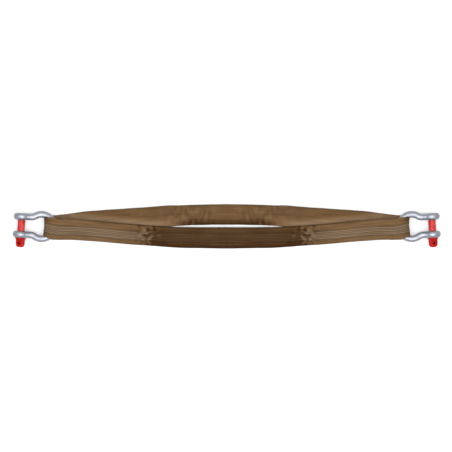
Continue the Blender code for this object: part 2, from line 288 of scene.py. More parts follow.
def rear_section(far):
    """Section of the rear leg at a distance from mid-length, on the left."""
    mm = far / MM
    reach = -CROWN.x - far
    half = half_thickness(reach)
    origin = Vector((-far, smooth_table(mm, REAR_Y) * MM, half))
    hug = 1 - smoothstep(*REAR_HUG, reach)
    half_width = smooth_table(mm, REAR_HALF_WIDTH) * MM
    across, outward = Vector((0, 1, 0)), Vector((0, 0, -1))
    shift = origin.y - CROWN.y
    return Section(LOOP_HALF - far, origin, across, outward, half_width, -half, half, hug, 0.0, shift)


def turn_section(angle):
    """Section of the sling round the crown: angle 0 is on top of the bar, pi under it."""
    inward = ACROSS_CROWN.cross(Vector((0, 0, 1)))
    outward = -inward * math.sin(angle) + Vector((0, 0, 1)) * math.cos(angle)
    bulge = math.sin(angle) ** 2
    top, under = front_section(-CROWN.x), rear_section(-CROWN.x)
    share = smoothstep(0.0, math.pi, angle)
    shift = (top.origin.y - CROWN.y) * (1 - share) + (under.origin.y - CROWN.y) * share
    side = smoothstep(0, math.pi / 2, math.pi / 2 - abs(angle - math.pi / 2))
    end_width = top.half_width if angle < math.pi / 2 else under.half_width
    half_width = end_width + (TURN_HALF_WIDTH - end_width) * side
    shift *= 1 - 0.75 * side
    tilt = Vector((0, 1, 0)).lerp(ACROSS_CROWN, side).normalized()
    outer = CROWN.z + (TURN_OUTER - CROWN.z) * bulge
    origin = CROWN + tilt * shift
    along = -CROWN.x + TURN_LONG * angle / math.pi
    flare = 6.0 * bulge
    return Section(along, origin, tilt, outward, half_width, BAR_R + WRAP_GAP, outer, 1.0, flare, shift)


def ring_places(half_width):
    """(v, share of the half height) round a section, from its +v edge over the outer face and back."""
    bend = 2 / OVAL_POWER
    zone = STRIPE_ZONE
    edge = math.acos((zone / half_width) ** (1 / OVAL_POWER))
    outer = [edge * i / EDGE_STEPS for i in range(EDGE_STEPS)]
    places = [(half_width * math.cos(a) ** OVAL_POWER, math.sin(a) ** OVAL_POWER) for a in outer]
    for i in range(ZONE_STEPS + 1):
        v = zone - 2 * zone * i / ZONE_STEPS
        places.append((v, (1 - abs(v / half_width) ** bend) ** (1 / bend)))
    places += [(-v, w) for v, w in reversed(places[:EDGE_STEPS])]
    for i in range(1, INNER_STEPS):
        a = math.pi * i / INNER_STEPS
        cos, sin = -math.cos(a), math.sin(a)
        places.append((half_width * math.copysign(abs(cos) ** OVAL_POWER, cos), -(sin**OVAL_POWER)))
    return places


def crease(s, v, line):
    """Share of a crease's depth at (s, v). line is ((s, v), (s, v), half width)."""
    (s0, v0), (s1, v1), wide = line
    long_s, long_v = s1 - s0, v1 - v0
    t = ((s - s0) * long_s + (v - v0) * long_v) / (long_s**2 + long_v**2)
    t = min(max(t, 0.0), 1.0)
    gap = math.hypot(s - s0 - t * long_s, v - v0 - t * long_v)
    return math.exp(-((gap / wide) ** 2))


# Creases as (end, end, half width, depth), with ends (along, across) in mm. A negative depth is a ridge.
FRONT_CREASES = (
    ((256, 33), (257, 12), 5.0, 1.9),
    ((268, 30), (267, 8), 5.5, -1.3),
    ((304, -20), (268, 0), 4.5, 1.0),
    ((290, -30), (266, -14), 4.5, 1.1),
    ((254, 2), (236, -10), 7.5, 1.5),
    ((262, 0), (263, -28), 4.5, -1.0),
    ((250, -22), (228, -28), 6.0, 1.1),
    ((318, 12), (284, 20), 4.5, 0.7),
    ((228, -6), (206, -14), 6.0, 0.8),
    ((506, -15), (462, -18), 3.5, 0.45),
    ((484, -16), (438, -21), 3.0, 0.5),
    ((404, -19), (352, -25), 3.5, 0.5),
    ((350, -8), (316, -17), 4.0, 0.35),
    ((536, 14), (500, 19), 3.5, 0.4),
)
REAR_WRINKLES = (
    ((184, 20), (179, -28), 6.5, 0.7),
    ((166, 32), (169, -22), 6.0, 0.8),
    ((149, 24), (145, -30), 6.5, 0.8),
    ((131, 14), (127, -32), 6.0, 1.0),
    ((112, 30), (108, -16), 7.0, 0.6),
    ((93, 12), (90, -31), 6.5, 0.9),
    ((78, 22), (75, -14), 6.5, 0.5),
    ((203, 2), (208, -30), 6.5, 0.6),
    ((236, 0), (242, -26), 7.0, 0.5),
    ((52, 16), (46, -24), 8.0, 0.4),
)


def in_metres(creases):
    """(line, depth) of each crease, in metres."""
    return [
        (((a[0] * MM, a[1] * MM), (b[0] * MM, b[1] * MM), wide * MM), depth * MM)
        for a, b, wide, depth in creases
    ]


FRONT_LINES = in_metres(FRONT_CREASES)
REAR_LINES = in_metres(REAR_WRINKLES)


def crease_depth(s, v, outer_face):
    """Depth of the creases in one face, at s along the loop and v across."""
    lines, far = (FRONT_LINES, s) if outer_face else (REAR_LINES, LOOP_HALF - s)
    near = [(line, depth) for line, depth in lines if abs(far - line[0][0]) < CREASE_REACH]
    return sum(depth * crease(far, v, line) for line, depth in near)


def twisted(s, v):
    """How far (s, v) is across the band of woven stripes, which swerves at the crease."""
    swerve = math.exp(-(((s - CREASE_X) / (24 * MM)) ** 2)) * math.sin((s - CREASE_X) / (13 * MM))
    swerve += 1.1 * smoothstep(0.46, 0.56, s)
    return v + 2.6 * MM * swerve + 1.2 * MM * noise.noise(Vector((s * 9, 3.1, 0)))


def rumple(s, v):
    """Small folds crowded round the front leg's crease, roughly from -1 to 1."""
    near = math.exp(-(((s - CREASE_X) / (34 * MM)) ** 2))
    folds = noise.noise(Vector((s * 58 + v * 30, v * 90 - s * 22, 7.0)))
    folds += 0.7 * noise.noise(Vector((s * 120 - v * 40, v * 95 + s * 35, 9.0)))
    return near * folds


def pleats(far, v):
    """Soft pleats across the rear leg, roughly from -1 to 1."""
    near = smoothstep(0.03, 0.08, far) * (1 - smoothstep(0.13, 0.22, far))
    folds = noise.noise(Vector((far * 100 + v * 22, v * 38, 4.0)))
    folds += 0.5 * noise.noise(Vector((far * 60 - v * 20, v * 50, 6.0)))
    return near * folds


def beside_bar(s):
    """1 where the skin lies round the bow's bar, 0 away from it."""
    crown = -CROWN.x
    coming = smoothstep(crown - 0.10, crown - 0.04, s)
    return coming * (1 - smoothstep(crown + TURN_LONG + 0.04, crown + TURN_LONG + 0.10, s))


def relief(s, v, level):
    """How far the skin stands out. level is 1 in the middle of the outer face, -1 in that of the inner."""
    outer_face = level > 0
    flat = abs(level) ** 0.5
    side = 2.0 if outer_face else -2.0
    height = WAVE_HEIGHT * noise.noise(Vector((s * 16, v * 45, side)))
    height += STREAK_HEIGHT * noise.noise(Vector((s * 5, v * 190, side + 5)))
    height -= CREASE_GAIN * crease_depth(s, v, outer_face) * flat
    folds = RUMPLE_HEIGHT * rumple(s, v) if outer_face else PLEAT_HEIGHT * pleats(LOOP_HALF - s, v)
    height += flat * folds
    if outer_face:
        stripe = twisted(s, v)
        inside = 1 - smoothstep(STRIPE_ZONE - 2.2 * MM, STRIPE_ZONE - 0.8 * MM, abs(stripe))
        height += RIB_HEIGHT * inside * math.cos(2 * math.pi * stripe / STRIPE_PITCH)
        height -= BORDER_DEPTH * math.exp(-(((abs(stripe) - STRIPE_ZONE + 0.6 * MM) / (0.9 * MM)) ** 2))
    return height * (1 - beside_bar(s) * (1 - smoothstep(0.0, 0.5, level)))


def front_shade(s, v):
    """Painted shade on the outer face, darkest at mid-length, along the front edge and just inside the
    crease.
    """
    middle = 1 - smoothstep(0.20, 0.29, s)
    # Painted shade, deepest at mid-length.
    dark = 0.92 * middle - 0.1 + 0.28 * (1 - middle) * (1 - smoothstep(0.28, 0.46, s))
    # Painted light towards the +v edge at mid-length.
    dark -= 0.15 * middle * smoothstep(14 * MM, 30 * MM, v)
    # Painted shade just inside the crease, on the front half of the face.
    crease_side_shade = math.exp(-(((s - 0.242) / 0.03) ** 2))
    dark += 0.55 * crease_side_shade * (1 - smoothstep(-20 * MM, 2 * MM, v))
    # Painted shade along the front edge, deepest at mid-length.
    front_edge = 1 - smoothstep(-32 * MM, -20 * MM, v)
    dark += 0.3 * front_edge * (0.1 + 0.9 * middle)
    # Painted light and shade on the folds round the crease.
    return dark - 1.15 * rumple(s, v)


def rear_shade(far, v):
    """Painted shade and light on the rear leg's inner face: dark beside the front leg at mid-length, pale
    near the ends.
    """
    middle = 1 - smoothstep(0.10, 0.24, far)
    mm = far / MM
    front_leg = (smooth_table(mm, FRONT_Y) + 33 - smooth_table(mm, REAR_Y)) * MM
    beside = 1 - smoothstep(front_leg, front_leg + (30 + 16 * middle) * MM, v)
    # Painted shade beside the front leg at mid-length, and painted light there near the ends.
    dark = 0.28 - 0.08 * middle + (0.85 * middle - 1.5 * (1 - middle)) * beside
    fold = pleats(far, v)
    # Painted light on the pleats' ridges and painted shade in their hollows.
    return dark - 0.3 * max(fold, 0.0) - 0.3 * fold


def shade(s, v, level):
    """Painted shade on the cloth, from 0 to 1, and painted light down to -1, with a little random tone in
    both.
    """
    outer_face = level > 0
    crown = -CROWN.x
    dark = front_shade(s, v) if s < crown + TURN_LONG / 2 else rear_shade(LOOP_HALF - s, v)
    # Painted shade where the cloth turns round the bow's bar, deeper towards its +v edge.
    leaving = smoothstep(crown + 0.6 * TURN_LONG, crown + TURN_LONG, s)
    turn = smoothstep(crown - 0.01, crown + 0.03, s) * (1 - leaving)
    dark += 0.45 * turn * (0.3 + smoothstep(10 * MM, 24 * MM, v))
    # Painted shade along the side edges of the sleeve.
    dark += 0.5 * (1 - smoothstep(0.1, 0.5, abs(level)))
    dark += 0.25 * noise.noise(Vector((s * 11, v * 60, 8.0 if outer_face else -8.0)))
    # Painted shade in the creases, in patches.
    crease_shade_patchiness = 1 + 1.2 * noise.noise(Vector((s * 90, v * 160, 2.0)))
    dark += CREASE_SHADE_GAIN * max(crease_depth(s, v, outer_face), 0.0) * crease_shade_patchiness
    return min(max(dark, -1.0), 1.0)


def skin_row(section):
    """One ring of the skin: (point, place in the cloth, shade) for each place round the section."""
    waver = 1 + 0.012 * noise.noise(Vector((section.along * 22, 0.5, 4.0)))
    row = []
    for v, level in ring_places(section.half_width * waver):
        inner, outer = section.span(v)
        middle, half = (inner + outer) / 2, (outer - inner) / 2
        out = relief(section.along, v, level)
        w = middle + level * half
        edge = math.copysign(1 - abs(level) ** 0.7, v)
        point = section.origin + section.across * (v + edge * out) + section.outward * (w + level * out)
        point.z = max(point.z, LOWEST)
        place = (section.along, twisted(section.along, v), level * HALF_THICK)
        row.append((point, place, shade(section.along, v, level)))
    return row


def even(first, last, step):
    """Values from first to last in equal steps of about the size asked for."""
    count = max(round(abs(last - first) / step), 1)
    return [first + (last - first) * i / count for i in range(count + 1)]


# ---------- pieces of skin ----------

def in_scene(name, data):
    """A new object in the scene."""
    made = bpy.data.objects.new(name, data)
    bpy.context.scene.collection.objects.link(made)
    return made


def face_outwards(mesh):
    """Turns the faces round if the closed mesh is inside out."""
    shape = bmesh.new()
    shape.from_mesh(mesh)
    inside_out = shape.calc_volume(signed=True) < 0
    shape.free()
    if inside_out:
        mesh.flip_normals()


def skin_mesh(name, rows, normals, keep_x):
    """A closed mesh through the rows, with its ends capped. keep_x is -1 to mirror it, and 1 otherwise."""
    count = len(rows[0])
    mesh = bpy.data.meshes.new(name)
    points = [(keep_x * p.x, p.y, p.z) for row in rows for p, _, _ in row]
    faces = []
    for k in range(len(rows) - 1):
        for i in range(count):
            j = (i + 1) % count
            faces.append((k * count + i, k * count + j, (k + 1) * count + j, (k + 1) * count + i))
    last_row = len(points) - count
    faces.append(tuple(reversed(range(count))))
    faces.append(tuple(range(last_row, last_row + count)))
    mesh.from_pydata(points, [], faces)
    space = mesh.attributes.new("sling_space", "FLOAT_VECTOR", "POINT")
    space.data.foreach_set("vector", [x for row in rows for _, place, _ in row for x in place])
    dark = mesh.attributes.new("shade", "FLOAT", "POINT")
    dark.data.foreach_set("value", [d for row in rows for _, _, d in row])
    weave_map(mesh, rows, count)
    face_outwards(mesh)
    mesh.shade_smooth()
    turned = normals.reshape(-1, 3) * (keep_x, 1, 1)
    mesh.normals_split_custom_set_from_vertices([Vector(n) for n in turned])
    return mesh


def weave_map(mesh, rows, count):
    """A UV map in metres: round the section from its +v edge, and along the loop."""
    girth = []
    for row in rows:
        places = [0.0]
        for i in range(count):
            places.append(places[-1] + (row[(i + 1) % count][0] - row[i][0]).length)
        girth.append([g * STANDARD_GIRTH / places[-1] for g in places])
    layer = mesh.uv_layers.new(name="weave")
    for polygon in mesh.polygons:
        corners = [divmod(v, count) for v in polygon.vertices]
        wraps = len(corners) == 4 and {i for _, i in corners} == {0, count - 1}
        for loop, (k, i) in zip(polygon.loop_indices, corners):
            place = count if wraps and i == 0 else i
            layer.data[loop].uv = (girth[k][place], rows[k][0][1][0])


def whole_normals(rows):
    """Smooth normals of the whole skin, so that pieces cut from it meet with no line between them."""
    points = np.array([[p for p, _, _ in row] for row in rows], float)
    along = np.gradient(points, axis=0)
    around = np.roll(points, -1, axis=1) - np.roll(points, 1, axis=1)
    normals = np.cross(around, along)
    normals /= np.linalg.norm(normals, axis=2)[:, :, None]
    outwards = points - points.mean(axis=1, keepdims=True)
    return normals * np.sign((normals * outwards).sum())


def left_rows():
    """Every ring of the left half, from the front leg's mid-length round the crown to the rear leg's."""
    marks = [0.0, CENTRE_CUT, END_CUT, -CROWN.x]
    fars = [0.0]
    for a, b in zip(marks, marks[1:]):
        fars += even(a, b, RING_STEP)[1:]
    sections = [front_section(far) for far in fars]
    turns = even(0.0, math.pi, TURN_STEP)[1:-1]
    sections += [turn_section(angle) for angle in turns]
    sections += [rear_section(far) for far in reversed(fars)]
    return [skin_row(section) for section in sections], fars


def cut_pieces(rows, fars):
    """(label, first row, last row) of each piece of the left half."""
    centre, end = fars.index(CENTRE_CUT), fars.index(END_CUT)
    total = len(rows)
    return (
        ("front_middle", 0, centre),
        ("front_end", centre, end),
        ("eye", end, total - 1 - end),
        ("rear_end", total - 1 - end, total - 1 - centre),
        ("rear_middle", total - 1 - centre, total - 1),
    )


def build_sling(look):
    """Lays the skin in five pieces a side, cut where the sling stays stiff, and hangs each eye piece on its
    body.
    """
    rows, fars = left_rows()
    normals = whole_normals(rows)
    for end, side in (("left", -1), ("right", 1)):
        for label, first, last in cut_pieces(rows, fars):
            name = f"{end}_{label}_skin"
            mesh = skin_mesh(name, rows[first : last + 1], normals[first : last + 1], -side)
            mesh.materials.append(look)
            hang(in_scene(name, mesh), end, label)


def hang(piece, end, label):
    """Puts the eye piece on its body, leaves the other pieces fixed where they lie, and lets each stand for
    the CAD's plain solids.
    """
    middle, eye = f"{end}_middle", f"{end}_eye"
    leg = label.split("_")[0]
    if label == "eye":
        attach(piece, eye)
        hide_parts(f"{end}_eye_sleeve", f"{end}_eye_core")
    elif label.endswith("_end"):
        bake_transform(piece)
        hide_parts(f"{end}_eye_sleeve", f"{end}_eye_core")
    else:
        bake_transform(piece)
        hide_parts(f"centre_{leg}_sleeve", f"centre_{leg}_core")
    if label != "eye":
        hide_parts(f"{end}_middle_{leg}_sleeve", f"{end}_middle_{leg}_core")


# ---------- shackles ----------

def shackle_frame(end):
    """A shackle's frame, on the pin's axis: X from the pin to the crown, Y along the pin and Z up."""
    joint = JOINTS[f"{end}_shackle_swing"]
    across = Vector(joint["axis"]).normalized()
    level = across.cross(Vector((0, 0, 1)))
    along = level * math.cos(SHACKLE_TILT) + Vector((0, 0, math.sin(SHACKLE_TILT)))
    normal = along.cross(across)
    origin = Vector(joint["pos_m"]) - along * CROWN_U
    turned = Matrix((along, across, normal)).transposed().to_4x4()
    return Matrix.Translation(origin) @ turned


def pin_frame(end):
    """A pin's frame: Z along it, head at the low end, and Y square to its flat lug, leaning outwards."""
    place = shackle_frame(end)
    up = place.col[2].to_3d()
    along = place.col[1].to_3d() * (1 if place.col[1].y > 0 else -1)
    across = up.cross(along)
    turned = Matrix((across, up, along)).transposed().to_4x4()
    lean = HEAD_TURN * (-1 if end == "left" else 1)
    return Matrix.Translation(place.translation) @ turned @ Matrix.Rotation(lean, 4, "Z")


def new_mesh(name, shape):
    """The mesh of a bmesh, which is freed."""
    bmesh.ops.recalc_face_normals(shape, faces=shape.faces)
    mesh = bpy.data.meshes.new(name)
    shape.to_mesh(mesh)
    shape.free()
    return mesh


def loft(rings):
    """A closed skin through rings of points."""
    shape = bmesh.new()
    rows = [[shape.verts.new(p) for p in ring] for ring in rings]
    for first, second in zip(rows, rows[1:]):
        for i in range(len(first)):
            j = (i + 1) % len(first)
            shape.faces.new((first[i], first[j], second[j], second[i]))
    shape.faces.new(rows[0])
    shape.faces.new(rows[-1])
    return shape


def circle(radius, z, steps):
    """Points round Z at a height."""
    turns = [2 * math.pi * i / steps for i in range(steps)]
    return [Vector((radius * math.cos(a), radius * math.sin(a), z)) for a in turns]


def lathe(profile, steps=64):
    """A solid turned round Z through points (radius, z)."""
    return loft([circle(radius, z, steps) for radius, z in profile])


def hole_cutter(radius, half_deep, lip, past, steps=64):
    """A cutter along Y for a hole that opens out by the lip at both faces, and which stands past them."""
    deep = half_deep + past
    profile = [
        (radius + lip, deep),
        (radius, deep - lip - past),
        (radius, -deep + lip + past),
        (radius + lip, -deep),
    ]
    shape = lathe(profile, steps)
    shape.transform(Matrix.Rotation(math.pi / 2, 4, "X"))
    return shape


def bow_path():
    """(point, direction) along the bar's centre line, from one ear to the other, in the shackle's frame."""
    neck_v = EAR_V + NECK_R
    neck_u = BOW_U - math.sqrt((BOW_R + NECK_R) ** 2 - neck_v**2)
    join = math.atan2(neck_v, BOW_U - neck_u)
    half = [(u, EAR_V, 0.0) for u in even(6 * MM, neck_u, 2 * MM)[:-1]]
    for angle in even(0.0, math.pi / 2 - join, 0.08):
        half.append((neck_u + NECK_R * math.sin(angle), neck_v - NECK_R * math.cos(angle), angle))
    for angle in even(math.pi - join, 0.0, 0.06)[1:]:
        half.append((BOW_U + BOW_R * math.cos(angle), BOW_R * math.sin(angle), angle - math.pi / 2))
    path = [(Vector((u, v, 0)), Vector((math.cos(a), math.sin(a), 0))) for u, v, a in half]
    mirrored = [(Vector((p.x, -p.y, 0)), Vector((-d.x, d.y, 0))) for p, d in path[-2::-1]]
    return path + mirrored


def bow_bar():
    """The bent bar. It grows taller where it runs into an ear."""
    rings = []
    steps = 40
    for point, along in bow_path():
        across = Vector((-along.y, along.x, 0))
        height = BAR_R + 10.0 * MM * (1 - smoothstep(6 * MM, 44 * MM, point.x))
        turns = [2 * math.pi * i / steps for i in range(steps)]
        rings.append(
            [point + across * BAR_R * math.cos(a) + Vector((0, 0, height * math.sin(a))) for a in turns]
        )
    return loft(rings)


def ear(v):
    """A round ear with flat faces and a rounded rim, at v along the pin."""
    rim = EAR_R - EAR_FLAT_R
    bulge = [math.pi * i / 16 for i in range(1, 16)]
    profile = [(0.5 * MM, EAR_HALF), (EAR_FLAT_R, EAR_HALF)]
    profile += [(EAR_FLAT_R + rim * math.sin(a), EAR_HALF * math.cos(a)) for a in bulge]
    profile += [(EAR_FLAT_R, -EAR_HALF), (0.5 * MM, -EAR_HALF)]
    shape = lathe(profile)
    shape.transform(Matrix.Translation((0, v, 0)) @ Matrix.Rotation(math.pi / 2, 4, "X"))
    return shape


def bore_cutter(v):
    """A cutter for the pin's hole in the ear at v."""
    shape = hole_cutter(BORE_R, EAR_HALF, BORE_LIP, 0.6 * MM)
    shape.transform(Matrix.Translation((0, v, 0)))
    return shape


def temporary(name, shape):
    """An object made of a bmesh, to work on before its mesh is kept."""
    return in_scene(name, new_mesh(name, shape))


def settle(obj):
    """Applies an object's modifiers."""
    bpy.context.view_layer.update()
    graph = bpy.context.evaluated_depsgraph_get()
    obj.data = bpy.data.meshes.new_from_object(obj.evaluated_get(graph))
    obj.modifiers.clear()


def boolean(target, shape, operation):
    """Joins or cuts the target with a closed shape, and removes the shape."""
    tool = temporary("tool", shape)
    modifier = target.modifiers.new("Boolean", "BOOLEAN")
    modifier.operation = operation
    modifier.object = tool
    modifier.solver = "EXACT"
    settle(target)
    bpy.data.objects.remove(tool)


def forged_bow():
    """Bar and ears grown together, with the soft inner corners of a forging, and bored for the pin."""
    blank = temporary("bow_blank", bow_bar())
    whole = bmesh.new()
    whole.from_mesh(blank.data)
    for v in (-EAR_V, EAR_V):
        lump = ear(v)
        piece = bpy.data.meshes.new("ear")
        lump.to_mesh(piece)
        lump.free()
        whole.from_mesh(piece)
    whole.to_mesh(blank.data)
    whole.free()
    remesh = blank.modifiers.new("Grow together", "REMESH")
    remesh.mode = "VOXEL"
    remesh.voxel_size = 1.3 * MM
    soften = blank.modifiers.new("Soften", "SMOOTH")
    soften.factor = 0.5
    soften.iterations = 7
    settle(blank)
    for v in (-EAR_V, EAR_V):
        boolean(blank, bore_cutter(v), "DIFFERENCE")
    mesh = blank.data
    bpy.data.objects.remove(blank)
    return mesh


def pin_radius(z):
    """Radius of the pin's plain turned shape at z."""
    tip = EAR_V + EAR_HALF
    return PIN_R - PIN_PLAY - PIN_CHAMFER * smoothstep(tip - PIN_CHAMFER, tip, z)


def pin_body():
    """Shank with a rolled thread at its far end, and the collar under the head."""
    steps = 72
    tip, seat = EAR_V + EAR_HALF, COLLAR_END + COLLAR_LONG
    soft = 0.9 * MM
    zs = even(tip, tip - THREAD_LONG - THREAD_PITCH, 0.4 * MM)
    rings = []
    for z in zs:
        ring = []
        fade = smoothstep(tip - THREAD_LONG - 2 * MM, tip - THREAD_LONG + 2 * MM, z)
        for i in range(steps):
            a = 2 * math.pi * i / steps
            turn = (z / THREAD_PITCH - a / (2 * math.pi)) % 1.0
            flank = smoothstep(0.12, 0.45, abs(turn - 0.5) * 1.15)
            radius = pin_radius(z) - THREAD_DEEP * fade * (1 - flank)
            ring.append(Vector((radius * math.cos(a), radius * math.sin(a), z)))
        rings.append(ring)
    plain = PIN_R - PIN_PLAY
    lower = [(plain, zs[-1] - 6 * MM), (plain, 0.0), (plain, seat + 1.2 * MM)]
    lower += [(PIN_R + 0.9 * MM, seat), (COLLAR_R - soft, seat)]
    for i in range(1, 7):
        a = math.pi / 2 * i / 6
        lower.append((COLLAR_R - soft + soft * math.sin(a), seat - soft + soft * math.cos(a)))
    for i in range(0, 7):
        a = math.pi / 2 * i / 6
        lower.append((COLLAR_R - soft + soft * math.cos(a), COLLAR_END + soft - soft * math.sin(a)))
    lower.append((COLLAR_R - 4 * MM, COLLAR_END))
    rings += [circle(radius, z, steps) for radius, z in lower]
    return loft(rings)


def pin_lug():
    """The flat head below the collar: straight sides, a rounded end and soft edges."""
    rings = []
    soft, half_thick = 4.2 * MM, HEAD_THICK / 2
    for y in [half_thick * math.sin(math.pi / 2 * i / 12) for i in range(-12, 13)]:
        over = max(abs(y) - (half_thick - soft), 0.0) / soft
        inset = soft * (1 - math.sqrt(max(1 - over * over, 0.0)))
        wide, deep = HEAD_WIDE / 2 - inset, HEAD_LONG - HEAD_STRAIGHT - inset
        ring = [Vector((wide, y, COLLAR_END + HEAD_IN_COLLAR))]
        for i in range(33):
            a = math.pi * i / 32
            cos, sin = math.cos(a), math.sin(a)
            x = wide * math.copysign(abs(cos) ** 0.62, cos)
            ring.append(Vector((x, y, COLLAR_END - HEAD_STRAIGHT - deep * sin**0.85)))
        ring.append(Vector((-wide, y, COLLAR_END + HEAD_IN_COLLAR)))
        rings.append(ring)
    return loft(rings)


def lug_hole_cutter():
    """A cutter for the hole in the flat head."""
    shape = hole_cutter(HEAD_HOLE_R, HEAD_THICK / 2, HEAD_HOLE_LIP, 0.5 * MM, 40)
    shape.transform(Matrix.Translation((0, 0, COLLAR_END - HEAD_HOLE_FROM_COLLAR)))
    return shape


def screw_pin():
    """The pin's mesh: threaded shank, collar and flat head with its hole."""
    pin = temporary("pin_blank", pin_body())
    boolean(pin, pin_lug(), "UNION")
    boolean(pin, lug_hole_cutter(), "DIFFERENCE")
    mesh = pin.data
    bpy.data.objects.remove(pin)
    return mesh


def place_forging(name, mesh, look, sharp_degrees, place):
    """An object with its own copy of a mesh, smooth but for edges that turn by more than the angle."""
    data = mesh.copy()
    data.materials.clear()
    data.materials.append(look)
    data.shade_smooth()
    data.set_sharp_from_angle(angle=math.radians(sharp_degrees))
    piece = in_scene(name, data)
    piece.matrix_world = place
    return piece


def build_shackles(steel, red):
    """Both bows and both pins, each in place on its body."""
    bow_mesh, pin_mesh = forged_bow(), screw_pin()
    for end in ("left", "right"):
        bow = place_forging(f"{end}_forged_bow", bow_mesh, steel, 50, shackle_frame(end))
        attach(bow, f"{end}_shackle")
        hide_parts(f"{end}_bow")
        pin = place_forging(f"{end}_red_pin", pin_mesh, red, 35, pin_frame(end))
        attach(pin, f"{end}_pin")
        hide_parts(f"{end}_screw_pin")


# ---------- materials ----------

class Shader:
    """A new material, with short calls that add nodes and link them."""

    def __init__(self, name):
        self.material = bpy.data.materials.new(name)
        self.material.use_nodes = True
        self.tree = self.material.node_tree
        self.surface = self.tree.nodes["Principled BSDF"]

    def node(self, kind, inputs=(), **settings):
        """A node whose inputs are given in order, as sockets or as values. None leaves an input alone."""
        made = self.tree.nodes.new(f"ShaderNode{kind}")
        for key, value in settings.items():
            setattr(made, key, value)
        for socket, value in zip(made.inputs, inputs):
            self.feed(socket, value)
        return made

    def feed(self, socket, value):
        if isinstance(value, bpy.types.NodeSocket):
            self.tree.links.new(value, socket)
        elif value is not None:
            socket.default_value = value

    def math(self, operation, a, b=None):
        return self.node("Math", (a, b), operation=operation).outputs[0]

    def distance(self, a, b):
        """How far a point is from an axis, from its two distances a and b square to the axis."""
        return self.math("SQRT", self.math("ADD", self.math("MULTIPLY", a, a), self.math("MULTIPLY", b, b)))

    def ramp(self, value, low, high, to_low=0.0, to_high=1.0):
        """value carried smoothly from low..high to to_low..to_high."""
        made = self.node("MapRange", (value, low, high, to_low, to_high), interpolation_type="SMOOTHSTEP")
        return made.outputs[0]

    def mix(self, share, a, b, blend="MIX"):
        made = self.node("Mix", data_type="RGBA", blend_type=blend)
        self.feed(made.inputs["Factor"], share)
        for socket, value in zip([s for s in made.inputs if s.type == "RGBA"], (a, b)):
            self.feed(socket, value)
        return next(s for s in made.outputs if s.type == "RGBA")

    def noise(self, vector, scale, detail=2.0, roughness=0.5):
        made = self.node("TexNoise")
        self.feed(made.inputs["Vector"], vector)
        made.inputs["Scale"].default_value = scale
        made.inputs["Detail"].default_value = detail
        made.inputs["Roughness"].default_value = roughness
        return made.outputs[0]

    def tinted(self, colour, tone):
        """The colour multiplied by a tone, which is a number."""
        grey_tone = self.node("CombineColor", (tone,) * 3).outputs[0]
        return self.mix(1.0, colour, grey_tone, "MULTIPLY")

    def stretched(self, vector, scale):
        return self.node("VectorMath", (vector, scale), operation="MULTIPLY").outputs[0]

    def bump(self, height, distance, under=None, strength=1.0):
        made = self.node("Bump")
        made.inputs["Strength"].default_value = strength
        made.inputs["Distance"].default_value = distance
        self.feed(made.inputs["Height"], height)
        self.feed(made.inputs["Normal"], under)
        return made.outputs[0]

    def finish(self, colour, roughness, normal, **constants):
        self.feed(self.surface.inputs["Base Color"], colour)
        self.feed(self.surface.inputs["Roughness"], roughness)
        if normal:
            self.feed(self.surface.inputs["Normal"], normal)
        for name, value in constants.items():
            self.surface.inputs[name.replace("_", " ")].default_value = value
        return self.material


def under_light(red, green, blue, light=2.2):
    """The colour of a surface that shows as this screen colour, from 0 to 255, under the studio's light."""
    linear = [((c / 255 + 0.055) / 1.055) ** 2.4 for c in (red, green, blue)]
    return (*[c / light for c in linear], 1.0)


def grey(value):
    """The shader colour of a grey."""
    return (value, value, value, 1.0)


